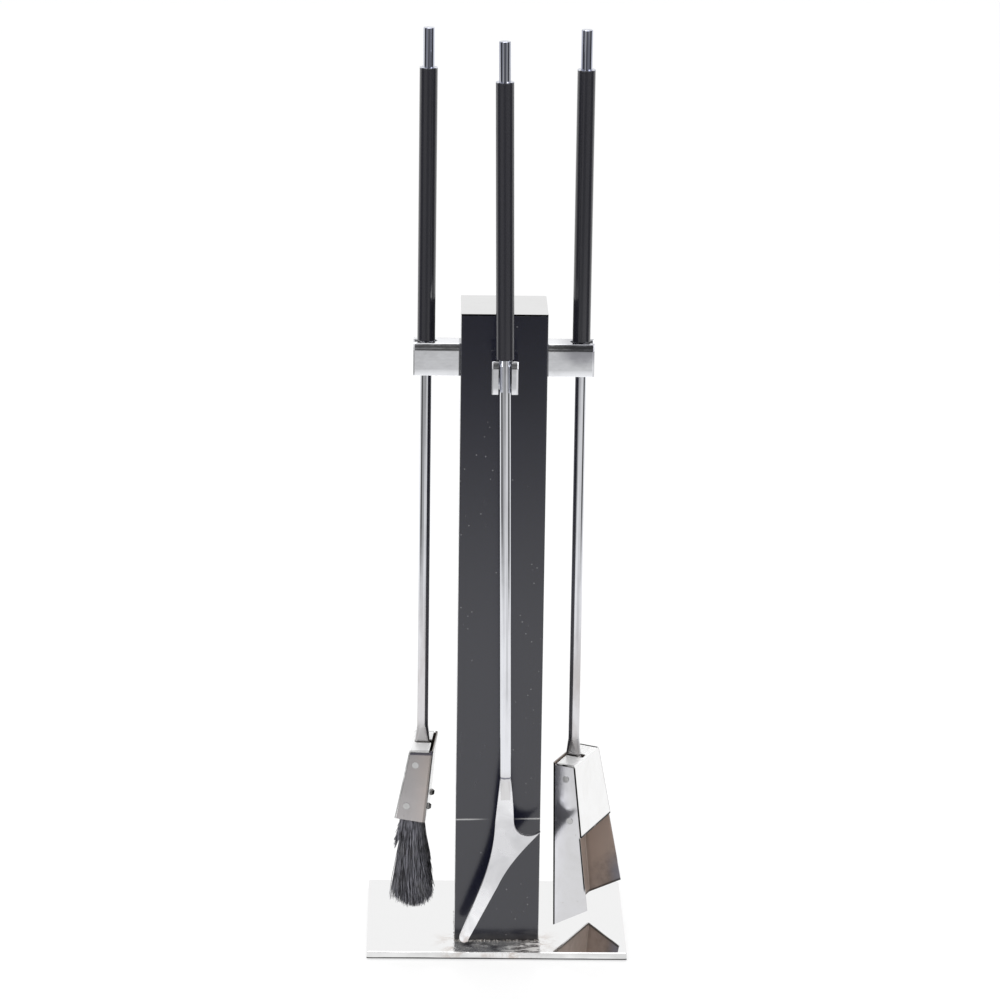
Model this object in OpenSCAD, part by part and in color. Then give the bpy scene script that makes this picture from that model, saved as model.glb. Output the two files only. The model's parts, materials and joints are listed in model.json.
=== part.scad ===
// Fireplace tool set. A square column stands on a base plate and carries three slotted
// brackets. A brush, a poker and a shovel hang in the slots by their handles.
// The origin is the centre of the base's underside, +Z is up and the poker hangs in
// front, towards -Y.

/* [Base plate] */
// Width of the plate, left to right
plate_w = 235; // [200:1:280]
// Depth of the plate, front to back
plate_d = 188; // [170:1:240]
// Thickness of the plate
plate_t = 6.4; // [5:0.1:10]
// Radius of the plate's upright corners
plate_r = 1.6; // [0.4:0.1:6]
// Width of the broken edge round the plate's top
plate_bevel = 0.5; // [0.2:0.1:1.5]
// Plate in front of the column
front_margin = 30; // [20:1:50]
// Thickness of the felt pad under the plate
pad_t = 1.2; // [0.8:0.1:3]
// Distance from the plate's edge to the felt pad's edge
pad_inset = 4; // [2:0.5:12]

/* [Column] */
// Side of the square column
column_w = 76.2; // [60:0.1:90]
// Height of the column with its cap
column_h = 582.5; // [520:0.5:680]
// Wall of the column's tube
column_wall = 2; // [1.5:0.1:3]
// Radius of the column's upright edges
column_r = 1.2; // [0.4:0.1:3]
// Thickness of the cap's plate
cap_t = 1.5; // [1:0.1:4]
// Depth of the cap's collar inside the tube
cap_collar = 12; // [6:1:18]
// Height of the mounting block inside the column's foot
foot_h = 14; // [10:1:24]
// Diameter of the screws that hold the foot block to the plate
foot_screw_d = 6; // [4:0.5:8]

/* [Brackets] */
// Height of a bracket
bracket_h = 29.3; // [24:0.1:40]
// Distance from the column's top down to the brackets' top
bracket_drop = 32.8; // [28:0.1:60]
// Width of each prong beside the slot
prong_w = 5.7; // [4:0.1:8]
// Distance from the column's face to the axis of a hanging tool
hang_reach = 30.5; // [26:0.5:38]
// Distance from that axis to the open end of the slot
slot_mouth = 11.3; // [9:0.1:15]
// Free slot behind the axis
slot_spare = 4; // [2:0.1:6]
// Play of a rod across its slot
slot_play = 1.6; // [1.2:0.1:2.5]
// Radius of the brackets' polished edges
bracket_r = 0.4; // [0.2:0.1:2]
// Diameter of the bolts that hold the brackets
bolt_d = 5; // [4:0.5:6]

/* [Rods and handles] */
// Diameter of the rods
rod_d = 10; // [8:0.1:12]
// Length of rod that stands out above a handle
pin_l = 34.8; // [20:0.5:50]
// Outer diameter of a handle's sleeve
sleeve_d = 15.9; // [15.2:0.1:20]
// Wall of a handle's sleeve
sleeve_wall = 1.4; // [1:0.1:1.6]
// Length of a handle's sleeve
sleeve_l = 243; // [180:0.1:280]
// Length of the bushes inside a sleeve's ends
bush_l = 10; // [6:1:20]
// Thickness of the top bush's rim
rim_t = 0.5; // [0.4:0.1:2.5]
// Thickness of the washer inside a handle's lower end
washer_t = 1; // [0.8:0.1:2]

/* [Poker] */
// Height of the poker's blade
blade_l = 155; // [130:1:190]
// Thickness of the blade
blade_t = 5; // [3:0.1:6]
// Width of the blade's neck
neck_w = 9.2; // [7:0.1:9.8]
// Width of the blade's shank above the hook
shank_w = 15; // [12:0.5:20]
// Distance from the rod's axis to the end of the point
point_out = 41.6; // [30:0.1:46]
// Distance from the rod's axis to the end of the hook
hook_out = 31.3; // [24:0.1:38]
// Drop from the top of the blade to the end of the hook
hook_drop = 50.4; // [42:0.1:60]
// Height of the point above the plate
poker_lift = 11.8; // [6:0.1:40]
// Lean of the hanging poker to the right, in degrees
poker_lean = 0.82; // [0:0.01:1]
// How much further out the poker hangs than the other tools
poker_out = 3; // [0:0.1:4]

/* [Heads of the brush and shovel] */
// Width of a head at its top
head_w = 59.9; // [56:0.1:72]
// Distance from the shovel rod's axis to its back sheet at the top
head_back = 8.5; // [8.2:0.1:10]
// Depth of a head at its top, from the back sheet to the hood's front
head_d = 21.6; // [21:0.1:25]
// Thickness of the sheet
sheet_t = 1.2; // [0.8:0.1:1.6]
// Radius of the folds of the back sheet
fold_r = 2.4; // [1.8:0.1:3]
// Radius of the hood's bend
hood_r = 2.2; // [1.8:0.1:3]
// Spread of each side wall, in degrees
head_flare = 6.1; // [3:0.1:7]
// Angle between the back sheet and the hood's front, in degrees
head_taper = 5.8; // [3:0.1:7]
// Slope of the back sheet, in degrees
head_lean = 5.6; // [2:0.1:8]
// Gap between the hood's top and the back sheet
hood_gap = 2.6; // [1:0.1:3]
// Width of the flattened end of a rod
tang_w = 13; // [11:0.1:14]
// Thickness of the flattened end of a rod
tang_t = 6; // [4:0.1:7]
// Diameter of the cross pins
pin_d = 6; // [4:0.1:7]
// Depth of the upper cross pin below the top of the head
pin_drop = 13; // [8:0.5:14]
// Distance between the cross pins
pin_pitch = 37.5; // [30:0.5:40]

/* [Shovel] */
// Length of the shovel's floor below the top of the head
floor_l = 149.3; // [120:0.1:180]
// Length of the side walls along their free edge
free_edge_l = 129.2; // [105:0.1:150]
// Length of the shovel's hood below the top of the head
shovel_hood_l = 64.2; // [58:0.1:80]
// Tilt of the shovel's head towards the column, in degrees
shovel_tilt = 2.3; // [0:0.1:5]
// Height of the floor's end above the plate
shovel_lift = 14.2; // [8:0.1:40]
// Turn of the hanging shovel towards the front, in degrees
shovel_turn = 23.1; // [0:0.1:30]
// Lean of the hanging shovel to the back, in degrees
shovel_lean = 1; // [0:0.01:1]

/* [Brush] */
// Length of the brush's case below the top of the head
case_l = 65.1; // [60:0.1:72]
// How much further in the brush's head sits on its rod than the shovel's
brush_in = 3.5; // [3:0.1:3.8]
// Slope of the case's lower end, in degrees
case_end = 7.1; // [0:0.1:10]
// Height of the block that holds the bristles
block_h = 22; // [18:0.5:24]
// Length of the bristles below the case
bristle_l = 83; // [50:1:100]
// Height of the bristles' ends above the plate
brush_lift = 29.4; // [20:0.1:60]
// Turn of the hanging brush towards the front, in degrees
brush_turn = 4.4; // [0:0.1:30]
// Diameter of the screws that hold the block
block_screw_d = 3; // [2.5:0.1:4]
// Distance between those screws
block_screw_pitch = 39; // [30:0.5:44]

/* [Hidden] */
$fn = 48;

// Clearances
seat_gap = 0.1;
grip_gap = 0.25;
washer_gap = 0.2;
run_gap = 0.05;
soft_gap = 0.3;
lap_gap = 0.3;
foot_gap = 0.2;
past = 1;

// Stand
plate_top = pad_t + plate_t;
column_y = -plate_d / 2 + front_margin + column_w / 2;
column_in = column_w - 2 * column_wall;
bracket_top = column_h - bracket_drop;
slot_w = rod_d + slot_play;
bracket_w = slot_w + 2 * prong_w;
bracket_l = hang_reach + slot_mouth;
bracket_arc = 6;
foot_screw_pitch = 0.55 * column_in;
foot_screw_l = 8;
foot_screw_head_d = 2 * foot_screw_d;
foot_screw_room = 0.6;
bolt_pitch = 0.45 * bracket_h;
bolt_l = 12;
bolt_head_d = 1.7 * bolt_d;
bolt_head_h = bolt_d;

// Hanging tools: the seat is the underside of each washer, and the sleeve's lower end
// hides the washer
reach = column_w / 2 + hang_reach;
seat_z = plate_top + bracket_top + seat_gap;
grip_top = grip_gap + sleeve_l + rim_t;
hang_h = seat_z - plate_top;
sleeve_in = sleeve_d - 2 * sleeve_wall;

// Tops of the heads and of the blade, measured down from the seat
poker_z = hang_h - poker_lift - blade_l;
shovel_z = hang_h - shovel_lift - floor_l;
brush_z = hang_h - brush_lift - bristle_l - case_l;

// Heads
head_front = head_d - head_back;
hood_lean = head_lean + head_taper;
tang_end = 7;
tang_l = pin_drop + pin_pitch + tang_end;
tang_step = 8;
tang_cut = 2;
tang_r = 1.4;
forge_l = 16;
shovel_pin_out = 3;
brush_pin_out = 4.7;
hood_hole_spare_l = 5.5;
hood_hole_spare_w = 4;
hood_hole_land = 2.5;
hood_hole_r = 3;

// Brush: the case's walls start longer by case_spare and are cut along the sloping end,
// and the block ends block_up above that end
case_spare = 6;
block_up = 1;
screw_drop = case_l - 10;
screw_head_d = 2 * block_screw_d;
screw_head_h = 1.1 * block_screw_d;
screw_l = 9;
bristle_r = 4;

// ---- Outlines and small forms ----

// Points of an arc from angle a to angle b
function arc(c, r, a, b, steps) =
    [for (i = [0 : steps]) let (t = a + (b - a) * i / steps) c + r * [cos(t), sin(t)]];

// Points of a rectangle about the origin, with round corners
function round_rect(w, d, r, steps = 6) = concat(
    arc([w / 2 - r, d / 2 - r], r, 0, 90, steps),
    arc([-w / 2 + r, d / 2 - r], r, 90, 180, steps),
    arc([-w / 2 + r, -d / 2 + r], r, 180, 270, steps),
    arc([w / 2 - r, -d / 2 + r], r, 270, 360, steps));

// Points of a curve that leaves a towards b and arrives at d from c
function curve(a, b, c, d, steps) =
    [for (i = [0 : steps]) let (t = i / steps, u = 1 - t)
        u * u * u * a + 3 * u * u * t * b + 3 * u * t * t * c + t * t * t * d];

// A closed skin through rings of equally many points, the lowest ring first
module skin(rings) {
    n = len(rings[0]);
    m = len(rings);
    polyhedron(
        points = [for (ring = rings) each ring],
        faces = concat(
            [[for (i = [0 : n - 1]) i]],
            [[for (i = [n - 1 : -1 : 0]) (m - 1) * n + i]],
            [for (k = [0 : m - 2]) for (i = [0 : n - 1]) let (j = (i + 1) % n)
                [k * n + i, (k + 1) * n + i, k * n + j]],
            [for (k = [0 : m - 2]) for (i = [0 : n - 1]) let (j = (i + 1) % n)
                [k * n + j, (k + 1) * n + i, (k + 1) * n + j]]));
}

// A cylinder along Y, centred on the axis
module bar_y(d, l) rotate([90, 0, 0]) cylinder(d = d, h = l, center = true);

// An outline in X and Z, spread along Y about the middle
module spread(w) rotate([90, 0, 0]) linear_extrude(w, center = true) children();

// ---- Places of the hanging tools ----

module at_left() translate([-reach, column_y, seat_z]) children();
module at_front() translate([0, column_y - reach - poker_out, seat_z]) children();
module at_right() translate([reach, column_y, seat_z]) children();

// In a hanging tool's own frame +Z runs up the rod and +X points away from the column
module hang_brush() at_left() rotate([0, 0, 180 - brush_turn]) children();
module hang_poker() at_front() rotate([0, -poker_lean, 0]) children();
module hang_shovel() at_right() rotate([shovel_lean, 0, 0]) rotate([0, 0, -shovel_turn])
    children();

// ---- Stand ----

module foot_screw_places() {
    for (x = [-1, 1], y = [-1, 1])
        translate([x * foot_screw_pitch / 2, column_y + y * foot_screw_pitch / 2, 0])
            children();
}

// The plate's outline at height z, drawn in by inset
function plate_ring(z, inset) =
    [for (p = round_rect(plate_w - 2 * inset, plate_d - 2 * inset, plate_r)) [p.x, p.y, z]];

module base_plate() {
    color("gainsboro") difference() {
        skin([
            plate_ring(pad_t, 0),
            plate_ring(plate_top - plate_bevel, 0),
            plate_ring(plate_top, plate_bevel)
        ]);
        foot_screw_places() foot_screw(run_gap);
    }
}

module base_pad() {
    color("black") linear_extrude(pad_t) difference() {
        polygon(round_rect(plate_w - 2 * pad_inset, plate_d - 2 * pad_inset, plate_r));
        foot_screw_places() circle(d = foot_screw_head_d + 2 * foot_screw_room);
    }
}

// A countersunk screw with its head flush with the plate's underside
module foot_screw(gap) {
    translate([0, 0, pad_t]) {
        translate([0, 0, -gap])
            cylinder(d1 = foot_screw_head_d + 2 * gap, d2 = foot_screw_d + 2 * gap,
                h = foot_screw_d / 2 + gap);
        cylinder(d = foot_screw_d + 2 * gap, h = plate_t + foot_screw_l + gap);
    }
}

module foot_screws() {
    color("dimgray") foot_screw_places() foot_screw(0);
}

module column_foot() {
    w = column_in - 2 * foot_gap;
    color("dimgray") difference() {
        translate([0, column_y, plate_top]) linear_extrude(foot_h)
            polygon(round_rect(w, w, column_r));
        foot_screw_places() foot_screw(run_gap);
    }
}

module column_tube() {
    color("#2f3034") difference() {
        translate([0, column_y, plate_top]) linear_extrude(column_h - cap_t) difference() {
            polygon(round_rect(column_w, column_w, column_r));
            polygon(round_rect(column_in, column_in, column_r));
        }
        on_each_face() bracket_bolt_pair(run_gap);
    }
}

module column_cap() {
    w = column_in - 2 * foot_gap;
    collar_wall = 1.5;
    color("silver") translate([0, column_y, plate_top + column_h - cap_t]) {
        linear_extrude(cap_t) polygon(round_rect(column_w, column_w, column_r));
        translate([0, 0, -cap_collar]) linear_extrude(cap_collar) difference() {
            polygon(round_rect(w, w, column_r));
            polygon(round_rect(w - 2 * collar_wall, w - 2 * collar_wall, column_r));
        }
    }
}

// A bracket along +X from the column's face, seen from above, with its slot open outwards
module bracket_plan() {
    slot_end = hang_reach - slot_spare;
    difference() {
        translate([bracket_l / 2, 0])
            polygon(round_rect(bracket_l, bracket_w, bracket_r, bracket_arc));
        translate([slot_end, 0]) circle(d = slot_w);
        translate([slot_end, -slot_w / 2]) square([bracket_l, slot_w]);
    }
}

module bracket() {
    translate([column_w / 2, 0, bracket_top - bracket_h]) difference() {
        intersection() {
            linear_extrude(bracket_h) bracket_plan();
            translate([0, 0, bracket_h / 2]) rotate([90, 0, 90]) linear_extrude(bracket_l)
                polygon(round_rect(bracket_w, bracket_h, bracket_r, bracket_arc));
        }
        translate([-column_w / 2, 0, bracket_h - bracket_top])
            bracket_bolt_pair(run_gap);
    }
}

// Two bolts from inside the column into a bracket
module bracket_bolt_pair(gap) {
    inside = column_in / 2;
    for (z = [-1, 1])
        translate([inside, 0, bracket_top - bracket_h / 2 + z * bolt_pitch / 2])
            rotate([0, 90, 0]) {
                cylinder(d = bolt_d + 2 * gap, h = column_wall + bolt_l + gap);
                translate([0, 0, -bolt_head_h]) cylinder(d = bolt_head_d, h = bolt_head_h);
            }
}

module on_face(angle) translate([0, column_y, plate_top]) rotate([0, 0, angle]) children();

module on_each_face() for (angle = [180, -90, 0]) on_face(angle) children();

module bracket_left() color("lightgray") on_face(180) bracket();
module bracket_front() color("lightgray") on_face(-90) bracket();
module bracket_right() color("lightgray") on_face(0) bracket();
module bracket_bolts() color("dimgray") on_each_face() bracket_bolt_pair(0);

// ---- Handles, alike on every tool ----

module washer() {
    color("silver") difference() {
        cylinder(d = sleeve_in - 2 * run_gap, h = washer_t);
        translate([0, 0, -past])
            cylinder(d = rod_d + 2 * run_gap, h = washer_t + 2 * past);
    }
}

module sleeve() {
    edge = 0.4;
    color("#101012") translate([0, 0, grip_gap]) rotate_extrude() polygon([
        [sleeve_in / 2, 0], [sleeve_d / 2 - edge, 0], [sleeve_d / 2, edge],
        [sleeve_d / 2, sleeve_l - edge], [sleeve_d / 2 - edge, sleeve_l],
        [sleeve_in / 2, sleeve_l]
    ]);
}

// A ring that fits between the rod and the sleeve
module bush_ring() {
    rotate_extrude() translate([rod_d / 2 + run_gap, 0])
        square([(sleeve_in - rod_d) / 2 - 2 * run_gap, bush_l]);
}

module bottom_bush() {
    color("gray") translate([0, 0, washer_t + washer_gap]) bush_ring();
}

module top_bush() {
    color("silver") translate([0, 0, grip_gap + sleeve_l]) {
        translate([0, 0, -bush_l]) bush_ring();
        rotate_extrude() translate([rod_d / 2 + run_gap, 0])
            square([(sleeve_d - rod_d) / 2 - run_gap, rim_t]);
    }
}

// A rod from its top end down to depth low below the seat
module rod(low) {
    edge = 0.3;
    top = grip_top + pin_l;
    rotate_extrude() polygon([
        [0, -low], [rod_d / 2, -low], [rod_d / 2, top - edge], [rod_d / 2 - edge, top],
        [0, top]
    ]);
}

// ---- Poker ----

// The blade's outline below its top: neck, shank, point to the left, hook to the right.
// The curves leave and meet their ends along tangents given as multiples of a stride.
function blade_outline() = let (
    stride = 0.1 * blade_l,
    hook = [hook_out, -hook_drop],
    low_left = [-0.51 * point_out, -0.64 * blade_l],
    low_right = [-0.18 * point_out, -0.66 * blade_l],
    tip_r = 0.1 * point_out,
    tip = [-point_out + tip_r, -blade_l + tip_r],
    shank_end = -0.8 * hook_drop,
    left = [-0.61 * shank_w, shank_end],
    right = [0.49 * shank_w, shank_end],
    neck = [neck_w / 2, 0]
) concat(
    [neck, [-neck_w / 2, 0]],
    curve(left, left + stride * [-0.03, -1.03],
        low_left + stride * [0.52, 1.35], low_left, 10),
    arc(tip, tip_r, 160, 320, 8),
    curve(low_right, low_right + stride * [0.62, 1.35],
        hook + stride * [-1.05, -1.1], hook, 12),
    curve(hook, hook + stride * [-0.66, -0.45], right + stride * [0.04, -0.93], right, 14),
    curve(right, right + stride * [0, 0.84], neck + stride * [0.08, -0.58], neck, 6));

module poker_blade() {
    color("gainsboro") hang_poker() translate([0, 0, -poker_z])
        spread(blade_t) polygon(blade_outline());
}

// The rod's end is slit for the blade, and its two cheeks run out on the blade's faces
module poker_rod() {
    cheek_l = 2 * rod_d;
    ramp = atan((rod_d - blade_t) / 2 / cheek_l);
    color("silver") hang_poker() difference() {
        rod(poker_z + cheek_l);
        translate([0, 0, -poker_z - cheek_l - past]) spread(blade_t)
            translate([-rod_d, 0]) square([2 * rod_d, cheek_l + past]);
        for (side = [0, 180])
            rotate([0, 0, side]) translate([0, -rod_d / 2, -poker_z])
                rotate([ramp, 0, 0]) translate([-rod_d, -rod_d, -2 * cheek_l])
                    cube([2 * rod_d, rod_d, 2 * cheek_l]);
    }
}

module poker_washer() at_front() washer();
module poker_sleeve() hang_poker() sleeve();
module poker_top_bush() hang_poker() top_bush();
module poker_bottom_bush() hang_poker() bottom_bush();

// ---- Heads: a folded channel under a bent hood, pinned to the rod's flat end ----

// In a head's own frame the origin is the middle of its rod at the top of the head
module shovel_head() hang_shovel() translate([0, 0, -shovel_z]) rotate([0, shovel_tilt, 0])
    children();
module brush_head() hang_brush() translate([-brush_in, 0, -brush_z]) children();

function half_width(s) = head_w / 2 + s * tan(head_flare);

// The channel's outline at depth s, drawn in by inset, its front moved out by more
function channel_ring(s, inset, more = 0) = let (
    back = -head_back + s * tan(head_lean) + inset,
    front = head_front - sheet_t - lap_gap + s * tan(hood_lean) + more,
    half = half_width(s) - inset,
    r = fold_r - inset
) [for (p = concat(
    [[front, -half], [front, half]],
    arc([back + r, half - r], r, 90, 180, 5),
    arc([back + r, -half + r], r, 180, 270, 5))) [p.x, p.y, -s]];

// Two cross pins' axes, along a line that starts out from the origin and follows the hood
module pin_places(out) {
    for (s = [pin_drop, pin_drop + pin_pitch])
        translate([out + s * tan(hood_lean), 0, -s]) children();
}

// The folded channel down to depth deep, before its lower end is cut
module channel(deep, out) {
    rest = sheet_t + lap_gap;
    difference() {
        skin([channel_ring(deep, 0), channel_ring(0, 0)]);
        skin([channel_ring(deep + past, sheet_t, head_d),
            channel_ring(-past, sheet_t, head_d)]);
        translate([-head_back + fold_r, -head_w, -rest]) cube([head_w, 2 * head_w, head_w]);
        pin_places(out) bar_y(pin_d + 2 * run_gap, 4 * head_w);
    }
}

// The hood's sheet in side view: flat top, bend and sloping front down to depth deep
module hood_profile(deep) {
    start = -head_back + sheet_t + hood_gap;
    bend = hood_r * tan((90 - hood_lean) / 2);
    flat = head_front - bend;
    c = [flat, -hood_r];
    low = head_front + deep * tan(hood_lean);
    in = sheet_t / cos(hood_lean);
    polygon(concat(
        [[start, -sheet_t], [start, 0]],
        arc(c, hood_r, 90, hood_lean, 6),
        [[low, -deep], [low - in, -deep]],
        arc(c, hood_r - sheet_t, hood_lean, 90, 6)));
}

module hood(deep) {
    hole_l = tang_w + hood_hole_spare_l;
    hole_w = tang_t + hood_hole_spare_w;
    difference() {
        spread(4 * head_w) hood_profile(deep);
        for (side = [-1, 1])
            translate([0, side * head_w / 2, 0]) rotate([side * head_flare, 0, 0])
                translate([-head_w, side > 0 ? 0 : -2 * head_w, -2 * deep])
                    cube([3 * head_w, 2 * head_w, 3 * deep]);
        translate([head_front - hood_hole_land - hole_l / 2, 0, -sheet_t - past])
            linear_extrude(sheet_t + 2 * past)
                polygon(round_rect(hole_l, hole_w, hood_hole_r));
    }
}

// A ring of the forged end at depth s, w wide and t thick, its middle moved out by x
function forged_ring(s, w, t, r, x) =
    [for (p = round_rect(w, t, r)) [p.x + x, p.y, -s]];

// Points turned about the origin by a, the bottom towards the back
function turned(points, a) =
    [for (p = points) [p.x * cos(a) + p.z * sin(a), p.y, p.z * cos(a) - p.x * sin(a)]];

// A rod forged flat below z into a tang that turns to follow the hood and ends in two
// cut corners. The forging starts inside the rod, a hair thinner than it. The tang is
// tilted with its head.
module headed_rod(z, out, tilt) {
    thin = rod_d - 2 * run_gap;
    bend = out + tang_step * tan(hood_lean);
    low = out + tang_l * tan(hood_lean);
    difference() {
        union() {
            rod(z - forge_l);
            translate([0, 0, -z]) skin([
                turned(forged_ring(tang_l, tang_w - 2 * tang_cut, tang_t, tang_r, low), tilt),
                turned(forged_ring(tang_l - tang_cut, tang_w, tang_t, tang_r, low), tilt),
                turned(forged_ring(tang_step, tang_w, tang_t, tang_r, bend), tilt),
                turned(forged_ring(0, tang_w, tang_t, tang_r, 0), tilt),
                forged_ring(-forge_l, thin, thin, thin / 2 - run_gap, 0),
                forged_ring(-forge_l - past, thin, thin, thin / 2 - run_gap, 0)
            ]);
        }
        translate([0, 0, -z]) rotate([0, tilt, 0]) pin_places(out)
            bar_y(pin_d + 2 * run_gap, 2 * tang_w);
    }
}

// The tang's side view, grown by gap
module tang_outline(out, gap) {
    half = tang_w / 2 + gap;
    bend = [out + tang_step * tan(hood_lean), -tang_step];
    end = [out + tang_l * tan(hood_lean), -tang_l - gap];
    polygon([[-half, 0], [half, 0], bend + [half, 0],
        end + [half, 0], end - [half, 0], bend - [half, 0]]);
}

// The cross pins, ground almost flush with the side walls
module head_pins(out) {
    proud = 0.3;
    for (s = [pin_drop, pin_drop + pin_pitch])
        translate([out + s * tan(hood_lean), 0, -s])
            bar_y(pin_d, 2 * (half_width(s) + proud));
}

// ---- Shovel ----

module shovel_pan() {
    back = -head_back + floor_l * tan(head_lean);
    front = head_front + free_edge_l * tan(hood_lean);
    rise = (floor_l - free_edge_l) / (front - back);
    color("gainsboro") shovel_head() difference() {
        channel(floor_l, shovel_pin_out);
        spread(4 * head_w) polygon([
            [back, -floor_l], [back + 2 * head_w, -floor_l + 2 * head_w * rise],
            [back + 2 * head_w, -2 * floor_l], [back, -2 * floor_l]]);
    }
}

module shovel_hood() {
    color("white") shovel_head() hood(shovel_hood_l);
}

module shovel_pins() {
    color("lightgray") shovel_head() head_pins(shovel_pin_out);
}

module shovel_rod() color("silver") hang_shovel() headed_rod(shovel_z, shovel_pin_out,
    shovel_tilt);
module shovel_washer() at_right() washer();
module shovel_sleeve() hang_shovel() sleeve();
module shovel_top_bush() hang_shovel() top_bush();
module shovel_bottom_bush() hang_shovel() bottom_bush();

// ---- Brush ----

// Everything below the sloping lower end of the case, lowered by drop
module below_case(drop) {
    spread(4 * head_w) translate([0, -case_l - drop]) rotate(case_end)
        translate([-2 * head_w, -2 * head_w]) square([4 * head_w, 2 * head_w]);
}

module brush_case() {
    color("#b4aea6") brush_head() difference() {
        channel(case_l + case_spare, brush_pin_out);
        below_case(0);
        screw_places() screw_hole();
    }
}

module brush_hood() {
    color("white") brush_head() difference() {
        hood(case_l + case_spare);
        below_case(0);
    }
}

module brush_pins() {
    color("lightgray") brush_head() head_pins(brush_pin_out);
}

// The screws' places on the outside of the back sheet, with +X into the case
module screw_places() {
    for (side = [-1, 1])
        translate([-head_back + screw_drop * tan(head_lean),
            side * block_screw_pitch / 2, -screw_drop])
            rotate([0, -head_lean, 0]) rotate([0, 90, 0]) children();
}

module screw_hole() {
    translate([0, 0, -past]) cylinder(d = block_screw_d + 2 * run_gap, h = screw_l + 2 * past);
}

module brush_screws() {
    dome = screw_head_h * 0.6;
    color("dimgray") brush_head() screw_places() {
        cylinder(d = block_screw_d, h = screw_l);
        translate([0, 0, -screw_head_h + dome])
            cylinder(d = screw_head_d, h = screw_head_h - dome);
        translate([0, 0, -screw_head_h])
            cylinder(d1 = screw_head_d * 0.6, d2 = screw_head_d, h = dome);
    }
}

// The wooden block fills the mouth of the case round the rod's flat end
module brush_block() {
    inset = sheet_t + soft_gap;
    color("saddlebrown") brush_head() difference() {
        skin([channel_ring(case_l + case_spare, inset, -soft_gap),
            channel_ring(case_l - block_h, inset, -soft_gap)]);
        below_case(-block_up);
        spread(tang_t + 2 * soft_gap) tang_outline(brush_pin_out, soft_gap);
        pin_places(brush_pin_out) bar_y(pin_d + 2 * run_gap, 4 * head_w);
        screw_places() screw_hole();
    }
}

// A ring of the bristles' outer shape at depth s, from back to front, half as wide as half
function bristle_ring(s, back, front, half) =
    [for (p = round_rect(front - back, 2 * half, bristle_r, 3))
        [p.x + (front + back) / 2, p.y, -s]];

// The bristles leave the block inside the case's mouth, spread below it and draw in again
// at their ends. Each row holds a depth and how far the back, front and sides stand out
// from the mouth's edges.
module brush_bristles() {
    mouth_back = -head_back + case_l * tan(head_lean) + sheet_t + soft_gap;
    mouth_front = head_front + case_l * tan(hood_lean) - 2 * sheet_t - lap_gap;
    mouth_half = half_width(case_l) - sheet_t - soft_gap;
    rows = [
        [case_l + bristle_l, 2.6, -3.6, -18],
        [case_l + 0.95 * bristle_l, 3.4, 0.3, -5],
        [case_l + 0.88 * bristle_l, 0.6, 2.7, 0],
        [case_l + 0.66 * bristle_l, -3.3, 3.6, 1],
        [case_l + 0.39 * bristle_l, -4.5, 0.3, 0],
        [case_l + 0.28 * bristle_l, -4.6, 3.5, -0.5],
        [case_l, -4.9, -2.1, -1.7],
        [case_l - block_h / 3, -4.9, -2.8, -2.7]
    ];
    color("#2b2b2d") brush_head() intersection() {
        skin([for (row = rows)
            bristle_ring(row[0], mouth_back - row[1], mouth_front + row[2],
                mouth_half + row[3])]);
        below_case(soft_gap - block_up);
    }
}

module brush_rod() color("silver") hang_brush() headed_rod(brush_z,
    brush_pin_out - brush_in, 0);
module brush_washer() at_left() washer();
module brush_sleeve() hang_brush() sleeve();
module brush_top_bush() hang_brush() top_bush();
module brush_bottom_bush() hang_brush() bottom_bush();

base_plate();
base_pad();
column_tube();
column_cap();
column_foot();
foot_screws();
bracket_left();
bracket_front();
bracket_right();
bracket_bolts();
brush_washer();
brush_rod();
brush_sleeve();
brush_top_bush();
brush_bottom_bush();
brush_case();
brush_hood();
brush_pins();
brush_block();
brush_screws();
brush_bristles();
poker_washer();
poker_rod();
poker_sleeve();
poker_top_bush();
poker_bottom_bush();
poker_blade();
shovel_washer();
shovel_rod();
shovel_sleeve();
shovel_top_bush();
shovel_bottom_bush();
shovel_pan();
shovel_hood();
shovel_pins();
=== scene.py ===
"""Looks of the fireplace tool set: finishes, bristles, worn edges, studio and camera."""
import json
import math
import random

import bmesh
import bpy
from mathutils import Matrix, Vector

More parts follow.
